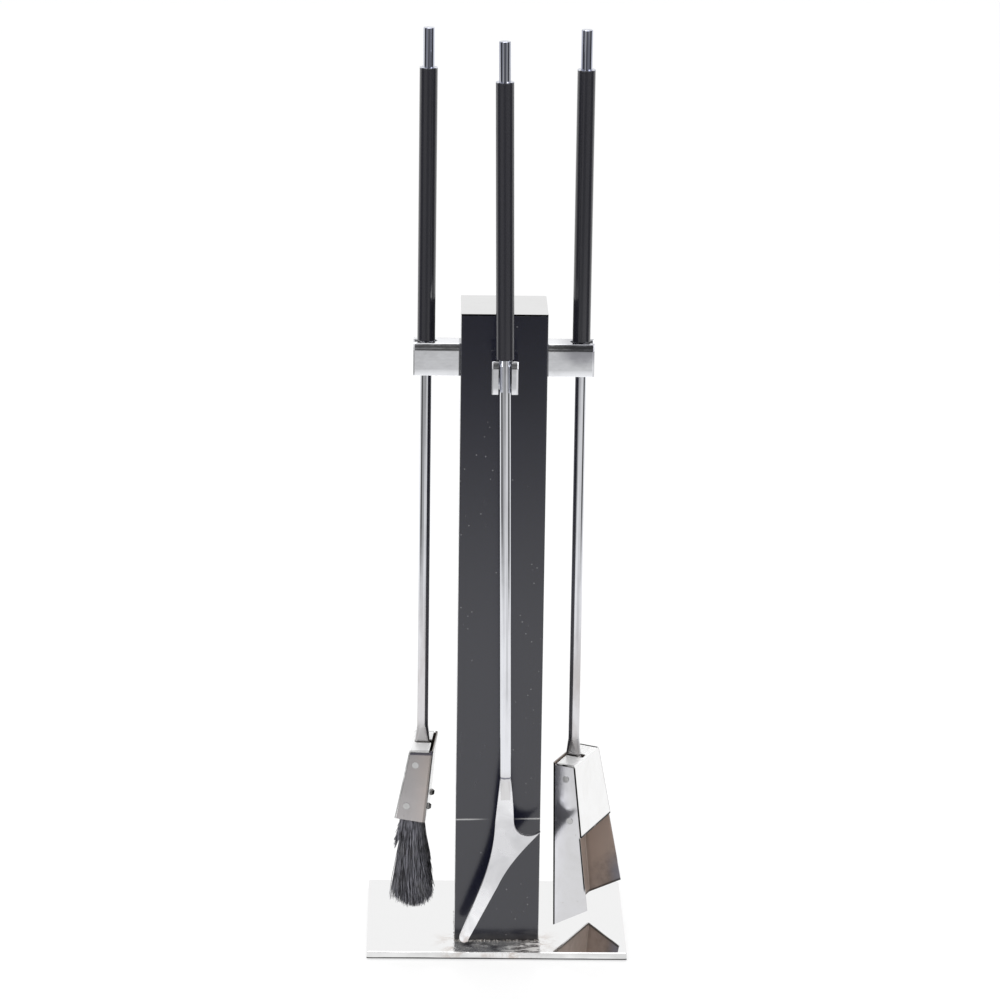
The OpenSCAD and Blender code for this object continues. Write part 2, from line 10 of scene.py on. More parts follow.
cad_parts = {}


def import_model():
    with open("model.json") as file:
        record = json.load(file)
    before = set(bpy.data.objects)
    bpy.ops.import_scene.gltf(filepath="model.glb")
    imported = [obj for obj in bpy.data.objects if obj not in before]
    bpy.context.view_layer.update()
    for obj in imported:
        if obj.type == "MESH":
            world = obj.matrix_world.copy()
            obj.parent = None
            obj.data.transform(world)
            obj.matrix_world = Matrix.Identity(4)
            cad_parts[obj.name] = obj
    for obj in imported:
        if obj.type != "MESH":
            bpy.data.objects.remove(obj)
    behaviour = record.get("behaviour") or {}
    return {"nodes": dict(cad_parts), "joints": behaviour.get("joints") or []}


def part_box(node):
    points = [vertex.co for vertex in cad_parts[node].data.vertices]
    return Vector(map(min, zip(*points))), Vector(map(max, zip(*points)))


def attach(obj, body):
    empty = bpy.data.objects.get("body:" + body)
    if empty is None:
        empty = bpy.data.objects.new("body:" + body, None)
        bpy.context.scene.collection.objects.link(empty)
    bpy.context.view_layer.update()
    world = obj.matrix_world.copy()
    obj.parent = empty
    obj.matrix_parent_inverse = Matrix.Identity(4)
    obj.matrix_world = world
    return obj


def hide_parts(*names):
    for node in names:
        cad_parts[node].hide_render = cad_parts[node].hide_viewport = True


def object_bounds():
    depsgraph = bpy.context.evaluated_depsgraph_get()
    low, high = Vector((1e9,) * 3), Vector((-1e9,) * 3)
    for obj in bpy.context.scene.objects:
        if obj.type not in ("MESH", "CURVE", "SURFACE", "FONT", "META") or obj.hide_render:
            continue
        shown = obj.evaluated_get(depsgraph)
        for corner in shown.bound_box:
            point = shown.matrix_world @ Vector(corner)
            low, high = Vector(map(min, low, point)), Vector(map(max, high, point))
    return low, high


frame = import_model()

MM = 0.001
cad_low, cad_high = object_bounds()


# ---- Shader maths ----

class Value:
    """A socket in a node tree. Sums and products of values add their own Math nodes."""

    def __init__(self, tree, socket):
        self.tree = tree
        self.socket = socket

    def __add__(self, other):
        return self.tree.maths("ADD", self, other)

    __radd__ = __add__

    def __sub__(self, other):
        return self.tree.maths("SUBTRACT", self, other)

    def __rsub__(self, other):
        return self.tree.maths("SUBTRACT", other, self)

    def __mul__(self, other):
        return self.tree.maths("MULTIPLY", self, other)

    __rmul__ = __mul__

    def __truediv__(self, other):
        return self.tree.maths("DIVIDE", self, other)

    def __pow__(self, other):
        return self.tree.maths("POWER", self, other)


class Tree:
    """The nodes of a material or of the world."""

    def __init__(self, owner, coordinates):
        owner.use_nodes = True
        self.nodes = owner.node_tree
        self.place = self.node("ShaderNodeTexCoord", out=coordinates)

    def node(self, kind, settings=None, sockets=None, out=0):
        """Adds a node, makes its settings, then fills its sockets with values or links."""
        made = self.nodes.nodes.new(kind)
        for name, value in (settings or {}).items():
            setattr(made, name, value)
        for key, value in (sockets or {}).items():
            if isinstance(value, Value):
                self.nodes.links.new(value.socket, made.inputs[key])
            else:
                made.inputs[key].default_value = value
        return Value(self, made.outputs[out])

    def link(self, value, node, socket):
        """Links a value to a socket of a node that the tree starts with."""
        self.nodes.links.new(value.socket, self.nodes.nodes[node].inputs[socket])

    def maths(self, operation, a, b=0.0):
        """One Math node on one or two values."""
        return self.node("ShaderNodeMath", {"operation": operation}, {0: a, 1: b})

    def size_of(self, value):
        """The value without its sign."""
        return self.maths("ABSOLUTE", value)

    def larger(self, a, b):
        """The larger of two values at each place."""
        return self.maths("MAXIMUM", a, b)

    def between(self, value, low, high, out_low=0.0, out_high=1.0):
        """value, clamped between low and high and spread smoothly over the outputs."""
        return self.node("ShaderNodeMapRange", {"interpolation_type": "SMOOTHSTEP"},
                         {0: value, 1: low, 2: high, 3: out_low, 4: out_high})

    def drawn(self, stretch, turn=(0, 0, 0)):
        """The place on the piece, turned, and drawn out along the axes with a low stretch."""
        if stretch is None:
            return self.place
        turned = tuple(math.radians(angle) for angle in turn)
        return self.node("ShaderNodeMapping", None,
                         {"Vector": self.place, "Scale": stretch, "Rotation": turned})

    def axis(self, letter, vector=None):
        """One coordinate of the place on the piece, or of another vector."""
        return self.node("ShaderNodeSeparateXYZ", None, {0: vector or self.place}, letter)

    def noise(self, scale, detail=3.0, rough=0.5, bend=0.0, stretch=None):
        """Soft clouds from 0 to 1, scale of them to the metre."""
        return self.node("ShaderNodeTexNoise", None,
                         {"Vector": self.drawn(stretch), "Scale": scale, "Detail": detail,
                          "Roughness": rough, "Distortion": bend})

    def cells(self, scale, stretch=None, turn=(0, 0, 0), feature="F1"):
        """The distance from the middles of scattered cells, or from their borders."""
        return self.node("ShaderNodeTexVoronoi", {"feature": feature},
                         {"Vector": self.drawn(stretch, turn), "Scale": scale}, "Distance")

    def specks(self, scale, size, patch, kept, stretch=None):
        """Small round marks, 1 in their middles, kept where a slow noise, patch, is high."""
        mark = self.between(self.cells(scale, stretch), *size)
        return mark * self.between(self.noise(*patch), *kept)

    def mix(self, share, first, second):
        """first where share is 0, second where it is 1. Both are colours."""
        return self.node("ShaderNodeMix", {"data_type": "RGBA"},
                         {"Factor": share, 6: first, 7: second}, 2)


class Finish(Tree):
    """A material on one Principled shader. Fixed settings go straight on its sockets."""

    def __init__(self, name, **fixed):
        self.material = bpy.data.materials.new(name)
        super().__init__(self.material, "Object")
        self.shader = self.nodes.nodes["Principled BSDF"]
        for socket, value in fixed.items():
            self.shader.inputs[socket.replace("_", " ")].default_value = value

    def feed(self, socket, value):
        """Links a value to a socket of the shader."""
        self.link(value, "Principled BSDF", socket)

    def bump(self, height, depth, strength=1.0):
        """Feeds the shader's normal from a height that stands depth metres at 1."""
        self.feed("Normal", self.node("ShaderNodeBump", None,
                                      {"Height": height, "Distance": depth,
                                       "Strength": strength}))

    def edge_wear(self, radius):
        """1 on sharp edges and 0 on open faces, from the difference of two normals."""
        rounded = self.node("ShaderNodeBevel", {"samples": 4}, {"Radius": radius})
        plain = self.node("ShaderNodeNewGeometry", out="Normal")
        along = self.node("ShaderNodeVectorMath", {"operation": "DOT_PRODUCT"},
                          {0: rounded, 1: plain}, "Value")
        return self.between(along, 1.0, 0.9)

    def scratches(self, scale, stretch, turn, width=0.02):
        """Thin lines, 1 on a line: the borders of long stretched cells, broken by noise."""
        border = self.cells(scale, stretch, turn, "DISTANCE_TO_EDGE")
        line = self.between(border, width, 0.0)
        return line * self.between(self.noise(scale * 0.6, 1.0), 0.55, 0.62)


def grey(level, warm=0.0):
    """An opaque grey, a little redder than blue when warm is above 0."""
    return (level * (1 + warm), level, level * (1 - warm), 1)


# ---- Frames of the pieces ----

# Sizes in metres, as near to the solids' as a finish needs
COLUMN_HALF = 0.0381                 # half the column's width
SHEET_T = 0.0012                     # the heads' sheet
HEAD_W = 0.0599                      # a head's width at its top
HEAD_BACK = 0.0085                   # from the head's axis to its back, at its top
HEAD_FRONT = 0.0115                  # from the axis to the walls' front edges, at their top
HEAD_SLOPE = 0.2014                  # how far those edges run out for each metre down
FLARE = math.tan(math.radians(6.1))  # how far each side wall spreads for each metre down
LEAN = math.tan(math.radians(5.6))   # how far the back leans out for each metre down
BRUSH_HOOD_L = 0.0652                # the hoods' lengths, from the heads' tops
SHOVEL_HOOD_L = 0.0642


def seat_of(tool):
    """The point that a tool hangs from, from its turning joint."""
    return next(Vector(joint["pos_m"]) for joint in frame["joints"]
                if joint["name"] == tool + "_turn")


def head_frame(tool, turn, inward=0.0, lean=0.0, tilt=0.0):
    """A head's own frame: X away from the column, Y across and Z up, from its hood's top.
    The angles are in degrees. inward is how far the axis stands nearer the column."""
    turn, lean, tilt = (math.radians(angle) for angle in (turn, lean, tilt))
    seat = seat_of(tool)
    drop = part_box(tool + "_hood")[1].z - seat.z
    return (Matrix.Translation(seat) @ Matrix.Rotation(lean, 4, "X")
            @ Matrix.Rotation(turn, 4, "Z") @ Matrix.Translation((-inward, 0, drop))
            @ Matrix.Rotation(tilt, 4, "Y"))


brush_frame = head_frame("brush", turn=180 - 4.4, inward=0.0035)
shovel_frame = head_frame("shovel", turn=-23.1, lean=1, tilt=2.3)


# ---- Finishes ----

def polished_plate():
    """Polished plate: dirt and stains before the column's foot, painted shade on its front
    edge and a painted shadow line at its lower edge.
    """
    low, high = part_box("base_plate")
    foot_y = seat_of("brush").y - COLUMN_HALF
    f = Finish("polished_plate")
    x, y, z = (f.axis(letter) for letter in "XYZ")
    smudge = f.between(f.noise(9, 4, 0.6, 0.4), 0.5, 0.72)
    streak = f.noise(120, 4, 0.7, 0.5, (0.18, 1, 1))
    crumb = f.between(f.noise(420, 3, 0.7), 0.5, 0.62)
    # A strip of dirt along the foot's front, on the plate's top alone, and stains round it
    before = f.between(y, foot_y + 0.002, foot_y) * f.between(f.size_of(x), 0.0405, 0.037)
    before = before * f.between(z, high.z - 0.0006, high.z - 0.0002)
    round_foot = f.between(f.size_of(x), 0.062, 0.036) * f.between(y, foot_y + 0.03, foot_y)
    patchy = f.between(streak * 0.6 + x * 8, 0.34, 0.62)
    blotch = f.between(f.noise(130, 3, 0.6, 0.3, (0.4, 1, 1)), 0.49, 0.6)
    dirt = before * f.between(f.noise(70, 3) + patchy * 0.8, 0.3, 0.95)
    stain = round_foot * f.between(f.noise(48, 4, 0.65, 0.4), 0.44, 0.62) * (1 - before)
    line = f.scratches(60, (1, 9, 1), (0, 0, 24), 0.012)
    colour = f.mix(stain * 0.75, grey(0.87), (0.60, 0.52, 0.47, 1))
    colour = f.mix(line * 0.25, colour, grey(0.7))
    ash = f.mix(f.larger(crumb * patchy, blotch), (0.09, 0.08, 0.08, 1), (0.8, 0.78, 0.76, 1))
    colour = f.mix(dirt, colour, ash)
    # Patches of painted shade on the front edge, where it mirrors the floor
    front = f.between(y, low.y + 0.002, low.y)
    front_edge_shade = f.between(f.noise(60, 3, 0.6, 0.0, (0.3, 1, 1)), 0.3, 0.65) * front
    colour = f.mix(front_edge_shade * 0.5, colour, grey(0.5))
    # A painted shadow line along the bottom of the plate's sides, above the felt
    edge = f.between(z + f.noise(24, 2) * 0.0008, low.z + 0.0017, low.z + 0.0012)
    f.feed("Base Color", f.mix(edge, colour, grey(0.012)))
    f.feed("Metallic", 1 - dirt * 0.85)
    f.feed("Roughness", 0.03 + smudge * 0.05 + stain * 0.2 + line * 0.1 + dirt * 0.35)
    wave = f.noise(26, 2, 0.5, 0.0, (1, 0.3, 0.3))
    f.bump(f.noise(16, 2) * 0.4 + wave * front * 3 + crumb * dirt * 0.6, 0.0006, 0.5)
    return f.material


def cap_steel():
    """The cap's bright top over sides blackened with the column."""
    f = Finish("polished_cap", Metallic=1.0)
    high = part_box("column_cap")[1]
    side = f.between(f.axis("Z"), high.z - 0.00015, high.z - 0.0003)
    cloud = f.between(f.noise(30, 4, 0.6), 0.42, 0.7)
    line = f.scratches(150, (1, 6, 1), (0, 0, 30), 0.015)
    top = f.mix(cloud * 0.3 + line * 0.25, grey(0.72), grey(0.66, 0.01))
    f.feed("Base Color", f.mix(side, top, grey(0.006)))
    f.feed("Roughness", 0.06 + cloud * 0.06 + line * 0.1)
    f.bump(f.noise(40, 2), 0.0001, 0.5)
    return f.material


TIP_H = 0.06        # the streaked top end of a rod
DULL_H = 0.024      # how far the dull forged end reaches above forged_z
TINT_H = 0.16       # how far the heat tint does
SEAM_UP = 0.0156    # the seam above forged_z, where the poker's blade is let in
POKER_DROP = 0.014  # how far forged_z is below the top of the poker's blade


def rod_steel(name, forged_z=None, warmth=0.0, tone=0.4, seam=0.0):
    """Polished rod: long streaks, dull bands and a darkly streaked top end. Round forged_z,
    near its head's top, a forged rod is dull, with a seam round it and a heat tint above."""
    f = Finish(name, Metallic=1.0)
    z = f.axis("Z")
    streak = f.noise(500, 2, 0.6, stretch=(1, 1, 0.015))
    cloud = f.between(f.noise(45, 4, 0.6, stretch=(1, 1, 0.3)), 0.4, 0.7)
    mark = f.specks(180, (0.1, 0.03), (30,), (0.52, 0.6), (1, 1, 0.5))
    colour = f.mix(cloud * 0.5 + streak * 0.3, (0.82, 0.83, 0.87, 1), (0.60, 0.60, 0.63, 1))
    fine = f.between(f.noise(560, 1, 0.5, stretch=(1, 1, 0.01)), 0.42, 0.56)
    tip = f.between(z, cad_high.z - TIP_H, cad_high.z - TIP_H + 0.01)
    colour = f.mix(tip * fine * 0.85, colour, (0.13, 0.14, 0.24, 1))
    colour = f.mix(tip * 0.3, colour, (0.80, 0.84, 0.95, 1))
    rough = 0.045 + cloud * 0.05 + mark * 0.2
    if forged_z is not None:
        forged = f.between(z, forged_z + DULL_H, forged_z + 0.008)
        tint = f.between(z, forged_z + TINT_H, forged_z + 0.03)
        colour = f.mix(tint * (0.25 + cloud * 0.5) * warmth, colour, (0.46, 0.41, 0.385, 1))
        colour = f.mix(forged * 0.6, colour, grey(tone, 0.02))
        ring = f.size_of(z + f.noise(300, 2) * 0.0012 - (forged_z + SEAM_UP))
        colour = f.mix(f.between(ring, 0.001, 0.0005) * seam, colour, (0.12, 0.12, 0.17, 1))
        rough = rough + tint * 0.05 + forged * 0.25
    f.feed("Base Color", f.mix(mark * 0.5, colour, grey(0.3, 0.08)))
    f.feed("Roughness", rough)
    f.bump(streak * 0.5 + f.noise(60, 2), 0.00008, 0.5)
    return f.material


FILED_H = 0.0062    # the filed slope at a bracket's top edge
EASED_H = 0.006     # the easing at its lower edge
EASED_END = 0.002   # and at its ends


def bracket_steel(node):
    """Polished block: its top edge is filed to a slope and its other edges are eased, and
    the top of the end away from the column has a painted dark reflection on the right bracket."""
    f = Finish("polished_" + node, Metallic=1.0)
    low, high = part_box(node)
    x, y, z = (f.axis(letter) for letter in "XYZ")
    wavy = f.noise(70, 2, 0.5) * 0.7
    filed = f.larger(z - (high.z - FILED_H), 0.0) / MM
    filed = filed + wavy * f.between(z, high.z - 0.007, high.z - 0.005)
    eased = f.larger((low.z + EASED_H) - z, 0.0) / MM
    middle_x, middle_y = (low.x + high.x) / 2, (low.y + high.y) / 2
    straight_x, straight_y = (high.x - low.x) / 2 - EASED_END, (high.y - low.y) / 2 - EASED_END
    end_x = f.larger(f.size_of(x - middle_x) - straight_x, 0.0) / MM
    end_y = f.larger(f.size_of(y - middle_y) - straight_y, 0.0) / MM
    # How far the ground faces drop and lean from the plain block, in millimetres
    drop = filed * 0.215 + filed * filed * 0.0105 - z / MM * 0.03 + eased * eased * 0.006
    drop = drop + (end_x * end_x + end_y * end_y) * 0.12
    cloud = f.between(f.noise(60, 4, 0.6), 0.42, 0.7)
    streak = f.noise(420, 2, 0.6, stretch=(0.08, 0.08, 1))
    pit = f.specks(230, (0.1, 0.03), (70,), (0.55, 0.62))
    clean = f.mix(cloud * 0.35, (0.90, 0.91, 0.94, 1), (0.76, 0.76, 0.79, 1))
    # Painted dark reflection at the top of the right bracket's outer end
    painted_dark_reflection = f.between(z + f.noise(30, 3) * 0.02, high.z - 0.012, high.z + 0.002)
    painted_dark_reflection = painted_dark_reflection * f.between(x, high.x - 0.038, high.x - 0.016) * f.between(x, 0.04, 0.05)
    clean = f.mix(painted_dark_reflection * 0.9, clean, (0.42, 0.42, 0.46, 1))
    f.feed("Base Color", f.mix(pit * 0.6, clean, grey(0.2)))
    f.feed("Roughness", 0.07 + cloud * 0.06 + streak * 0.04 + pit * 0.2)
    f.bump(f.noise(90, 2) * 0.05 + streak * 0.008 - drop, MM)
    return f.material


def in_frame(finish, own):
    """The place on a piece in a head's own frame."""
    return finish.node("ShaderNodeMapping", {"vector_type": "TEXTURE"},
                       {"Vector": finish.place, "Location": own.to_translation(),
                        "Rotation": own.to_euler()})


def hood_steel(name, own, length, edge_and_seam_shade, near_seam=1.0):
    """Bright bent sheet of a hood, with faint clouds and a haze on its flat top. Its cut
    edges and the seams along its top are darkened with painted shade, the near seam less where
    near_seam is low."""
    f = Finish(name)
    place = in_frame(f, own)
    down = 0 - f.axis("Z", place)
    from_side = (HEAD_W / 2 + down * FLARE) - f.size_of(f.axis("Y", place))
    seam = f.between(from_side, 0.0032, 0.0026) * f.between(down, 0.0012, 0.0008)
    seam = seam * f.between(f.axis("Y", place), -0.01, 0.01, near_seam, 1.0)
    cut = f.larger(f.between(from_side, 0.0007, 0.0004),
                   f.between(down, length - 0.0011, length - 0.0006))
    # Painted shade on the sheet's cut edges and in the gaps at the seams along its top
    burnt = f.larger(cut, seam) * f.between(f.noise(90, 2), 0.2, 0.45) * edge_and_seam_shade
    cloud = f.between(f.noise(28, 5, 0.62, 0.6), 0.4, 0.72)
    grain = f.noise(260, 2, 0.6, stretch=(1, 1, 0.08))
    mark = f.specks(90, (0.1, 0.04), (24,), (0.5, 0.6), (1, 1, 0.5))
    haze = f.between(down, 0.0016, 0.0006) * (1 - burnt)
    clean = f.mix(cloud * 0.5, grey(0.93), grey(0.84, 0.01))
    clean = f.mix(haze, clean, grey(0.97))
    marked = f.mix(mark * 0.4, clean, grey(0.5, 0.08))
    f.feed("Base Color", f.mix(burnt, marked, grey(0.012)))
    f.feed("Metallic", 1 - haze * 0.75)
    f.feed("Roughness", 0.07 + cloud * 0.06 + grain * 0.03 + burnt * 0.3 + haze * 0.2)
    f.bump(grain * 0.3 + f.noise(30, 2) * 0.5, 0.00012, 0.5)
    return f.material


# The depth of a channel's lower edge on the head's axis, and its rise for each metre out
CASE_SOLE = 0.0652, 0.136
PAN_SOLE = 0.1539, 0.613


def channel_steel(name, own, wall_colours, inner_colours, rough, sole, burn_and_painted_shade, rim=0.0):
    """A head's folded channel: side walls that darken outwards, a bright back and a sooty
    inside. burn_and_painted_shade darkens its folds and its walls' front edges with painted
    shade and burns the inside along its lower edge, and rim the lip at its walls' tops."""
    f = Finish(name)
    place = in_frame(f, own)
    x, y, down = f.axis("X", place), f.size_of(f.axis("Y", place)), 0 - f.axis("Z", place)
    from_side = (HEAD_W / 2 + down * FLARE) - y
    from_back = x - (down * LEAN - HEAD_BACK)
    from_front = (HEAD_FRONT + down * HEAD_SLOPE) - x
    from_sole = (sole[0] - x * sole[1]) - down
    thick = SHEET_T * 0.55, SHEET_T * 0.9
    inside = f.between(from_side, *thick) * f.between(from_back, *thick)
    wall = f.between(from_side, thick[1], thick[0])
    cloud = f.between(f.noise(34, 5, 0.62, 0.6), 0.36, 0.7)
    across = f.between(x + f.noise(40, 2) * 0.01, -0.006, 0.022)
    grain = f.noise(300, 2, 0.6, stretch=(1, 1, 0.08))
    speck = f.specks(150, (0.12, 0.04), (50,), (0.5, 0.6))
    soot = f.between(f.noise(90, 5, 0.7) * 0.35 + down * 3.0 + x * 5.0, 0.55, 0.85)
    outer = f.mix(wall, grey(0.9), f.mix(across, *wall_colours))
    mottle = f.between(f.noise(260, 4, 0.7), 0.35, 0.75) * 0.25
    outer = f.mix(f.larger(cloud * 0.3, mottle), outer, grey(0.58, 0.02))
    # Painted shade: a dark band at the top of the back, in the gap under the hood's top
    top = f.between(down, 0.0034, 0.0022) * (1 - wall)
    outer = f.mix(top * 0.8, outer, (0.10, 0.075, 0.06, 1))
    fold = f.between(from_back, 0.0027, 0.0019)
    # Painted shade: a dark reflection of the column painted into the fold by the back, and a
    # painted shadow on the walls' front edges below the hood
    beside = f.between(down, 0.064, 0.067) * f.between(down, 0.115, 0.110)
    fold = f.larger(fold, f.between(from_front, 0.0014, 0.0008) * beside)
    fold = fold * wall * burn_and_painted_shade
    outer = f.mix(fold, outer, grey(0.01))
    lip = f.between(down + f.noise(60, 2) * 0.001, 0.0048, 0.0036) * wall * rim
    outer = f.mix(lip, outer, (0.05, 0.05, 0.09, 1))
    inner = f.mix(soot, *inner_colours)
    corner = f.between(from_front, 0.014, 0.002) * f.between(from_sole, 0.04, 0.01)
    inner = f.mix(corner * 0.7, inner, (0.26, 0.27, 0.33, 1))
    # Painted shade in the inside corner by the back fold
    crease_shade = f.between(from_back, 0.007, 0.0015)
    inner = f.mix(crease_shade * 0.3, inner, (0.10, 0.085, 0.07, 1))
    burnt = f.between(from_sole, 0.0028, 0.0014) * burn_and_painted_shade
    inner = f.mix(f.larger(burnt * 0.8, speck * 0.4), inner, grey(0.03, 0.2))
    f.feed("Base Color", f.mix(inside, f.mix(speck * 0.35, outer, grey(0.3, 0.08)), inner))
    f.feed("Metallic", 1 - inside * 0.9)
    f.feed("Roughness", rough + cloud * 0.06 + grain * 0.03 + inside * 0.4)
    f.bump(grain * 0.3 + f.noise(30, 2) * 0.6 + inside * f.noise(380, 3, 0.7), 0.00012, 0.6)
    return f.material


def pin_steel():
    """The cross pins' ends, ground nearly flush and left a little dull."""
    f = Finish("pin_steel", Metallic=1.0)
    cloud = f.noise(260, 3, 0.6)
    f.feed("Base Color", f.mix(cloud, grey(0.42), grey(0.6)))
    f.feed("Roughness", 0.16 + cloud * 0.14)
    f.bump(cloud, 0.00008, 0.5)
    return f.material


def satin_steel():
    """The poker's blade: satin and mottled, with a seam at its top and a browned point."""
    f = Finish("satin_steel", Metallic=1.0)
    cloud = f.between(f.noise(40, 5, 0.65, 0.5), 0.38, 0.7)
    pit = f.specks(240, (0.1, 0.03), (60,), (0.5, 0.65))
    low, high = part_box("poker_blade")
    z = f.axis("Z")
    clean = f.mix(f.between(z, low.z + 0.015, low.z + 0.075), (0.95, 0.95, 0.97, 1),
                  (0.73, 0.73, 0.75, 1))
    clean = f.mix(f.between(z, high.z - 0.055, high.z - 0.03), clean, (0.9, 0.9, 0.92, 1))
    clean = f.mix(cloud * 0.4, clean, (0.62, 0.62, 0.64, 1))
    seam = f.between(z + f.noise(240, 2) * 0.001, high.z - 0.0012, high.z - 0.0006)
    clean = f.mix(seam * 0.7, clean, (0.16, 0.16, 0.2, 1))
    burnt = f.between(z, 0.035, 0.014) * f.between(f.noise(120, 3), 0.42, 0.6)
    worn = f.mix(burnt * 0.6, clean, (0.42, 0.30, 0.24, 1))
    f.feed("Base Color", f.mix(pit * 0.6, worn, grey(0.3, 0.1)))
    f.feed("Roughness", 0.26 + cloud * 0.16 + pit * 0.2)
    f.bump(f.noise(90, 3) - pit * 0.5, 0.0002, 0.6)
    return f.material


PALE_LINE_UP = 0.1165   # the pale line across the column's front, up from its foot


def black_paint():
    """The column's gloss paint: pale specks, rubbed edges, a pale line across the front and a
    grimy foot.
    """
    f = Finish("black_paint", Specular_IOR_Level=0.5, Coat_Roughness=0.13, Coat_Weight=1.0)
    cloud = f.noise(7, 4, 0.6, 0.3)
    speck = f.specks(130, (0.12, 0.03), (22, 2), (0.48, 0.58))
    rub = f.between(f.noise(70, 4, 0.7, stretch=(1, 1, 0.3)), 0.6, 0.75)
    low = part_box("column_tube")[0]
    grime = f.between(f.axis("Z") + f.noise(90, 3) * 0.006, low.z + 0.013, low.z + 0.004)
    edge = f.edge_wear(0.0009) * f.between(f.noise(90, 3), 0.5, 0.62)
    body = f.mix(cloud, (0.0022, 0.0030, 0.0125, 1), (0.0045, 0.0050, 0.015, 1))
    pale_line = low.z + PALE_LINE_UP + f.axis("X") * 0.02
    pale_line = f.between(f.size_of(f.axis("Z") - pale_line), 0.0009, 0.0004)
    pale_line = pale_line * f.between(f.size_of(f.axis("X") - 0.002), 0.008, 0.03)
    pale_line = pale_line * f.between(f.axis("Y"), low.y + 0.001, low.y)
    marked = f.mix(speck * 0.3 + rub * 0.03 + pale_line * 0.8, body, grey(0.5))
    marked = f.mix(grime * 0.5, marked, f.mix(f.noise(300, 3), grey(0.004), grey(0.05, 0.2)))
    f.feed("Base Color", f.mix(edge * 0.25, marked, grey(0.2)))
    f.feed("Roughness", 0.16 + cloud * 0.08 + rub * 0.2 + grime * 0.2)
    f.bump(f.noise(320, 2) * 0.4 + f.noise(14, 2), 0.0001, 0.3)
    return f.material


def black_lacquer():
    """The handles' gloss lacquer: fine rub marks along the grip and small chips."""
    f = Finish("black_lacquer", Coat_Roughness=0.03, Coat_Weight=0.5)
    rub = f.noise(120, 3, 0.6, stretch=(1, 1, 0.05))
    chip = f.specks(160, (0.07, 0.02), (12,), (0.55, 0.62), (1, 1, 0.4))
    f.feed("Base Color", f.mix(chip, (0.018, 0.018, 0.024, 1), grey(0.25)))
    f.feed("Roughness", 0.14 + rub * 0.14)
    f.bump(rub * 0.3 + f.noise(25, 1), 0.0001, 0.4)
    return f.material


def dark_steel():
    """Oiled dark steel of the column's foot, the bolts, the screws and the lower bushes."""
    f = Finish("dark_steel", Metallic=1.0)
    cloud = f.noise(90, 3, 0.6)
    f.feed("Base Color", f.mix(cloud, grey(0.16), grey(0.34, 0.03)))
    f.feed("Roughness", 0.28 + cloud * 0.2)
    f.bump(cloud, 0.0001, 0.5)
    return f.material


def felt():
    """The black felt under the plate."""
    f = Finish("felt", Roughness=0.95, Sheen_Weight=0.4)
    fluff = f.noise(900, 4, 0.7)
    f.feed("Base Color", f.mix(fluff, grey(0.012), grey(0.05)))
    f.bump(fluff, 0.0004, 0.8)
    return f.material


def beech():
    """The brush's wooden block, with its grain across the head."""
    f = Finish("beech", Roughness=0.6)
    grain = f.noise(160, 4, 0.6, 0.4, stretch=(1, 0.06, 1))
    f.feed("Base Color", f.mix(grain, (0.20, 0.11, 0.055, 1), (0.42, 0.27, 0.15, 1)))
    f.bump(grain, 0.0002, 0.5)
    return f.material


def horsehair():
    """Hairs that vary from near black to blue-grey from one to the next."""
    f = Finish("horsehair", Roughness=0.38, Specular_IOR_Level=0.5)
    strand = f.noise(900, 2, 0.6, stretch=(1, 1, 0.05))
    dusty = f.between(f.noise(70, 2), 0.5, 0.8)
    dark = f.mix(f.between(strand, 0.38, 0.62), (0.010, 0.010, 0.014, 1),
                 (0.25, 0.25, 0.285, 1))
    f.feed("Base Color", f.mix(dusty * 0.35, dark, grey(0.26)))
    f.bump(strand, 0.0001, 0.3)
    return f.material


def crumb_finish():
    """Scale and ash along the weld, from dark rust to pale grey."""
    f = Finish("weld_crumbs", Roughness=0.8)
    tone = f.between(f.noise(700, 3, 0.7), 0.4, 0.6)
    f.feed("Base Color", f.mix(tone, (0.09, 0.075, 0.065, 1), (0.5, 0.48, 0.46, 1)))
    f.bump(f.noise(1500, 3), 0.0003, 0.8)
    return f.material


# ---- Pieces made here ----

def new_piece(name, shape, finish, body):
    """A mesh piece from a finished bmesh, riding on a body."""
    bmesh.ops.recalc_face_normals(shape, faces=shape.faces)
    mesh = bpy.data.meshes.new(name)
    shape.to_mesh(mesh)
    shape.free()
    mesh.materials.append(finish)
    made = bpy.data.objects.new(name, mesh)
    bpy.context.scene.collection.objects.link(made)
    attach(made, body)
    return made


def solid_copy(node):
    """A CAD node's mesh as one clean solid, its loose triangles merged into flat faces."""
    shape = bmesh.new()
    shape.from_mesh(frame["nodes"][node].data)
    bmesh.ops.remove_doubles(shape, verts=shape.verts, dist=0.001 * MM)
    bmesh.ops.dissolve_limit(shape, angle_limit=math.radians(1), verts=shape.verts,
                             edges=shape.edges)
    return shape


BLADE_EASE = 0.45 * MM


def eased_blade(finish):
    """The poker's blade with its long edges eased by the grinder."""
    shape = solid_copy("poker_blade")
    sharp = [edge for edge in shape.edges if edge.calc_face_angle(0) > math.radians(60)]
    bmesh.ops.bevel(shape, geom=sharp, offset=BLADE_EASE, offset_type="OFFSET",
                    affect="EDGES", segments=2, profile=0.5, material=-1,
                    clamp_overlap=True)
    blade = new_piece("blade_eased", shape, finish, "poker")
    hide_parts("poker_blade")


HAIRS = 2500
HAIR_ROOT = 0.0600  # where the hairs start, down from the head's top
HAIR_L = 0.0880
HAIR_R = 0.00027    # a hair's radius, or a few hairs' that lie together
HAIR_POINTS = 6
SHORT_EVERY = 16    # one hair in so many is short and kicks out at the front
STRAY = 0.24        # share of the hairs that end outside the tuft
BEND = 0.0009       # how much hairs bend sideways
KICK = 0.0055       # how far a short hair's end stands out
CORE = (0.62, 0.9, 0.93)  # the core's size as a share of the plain solid's
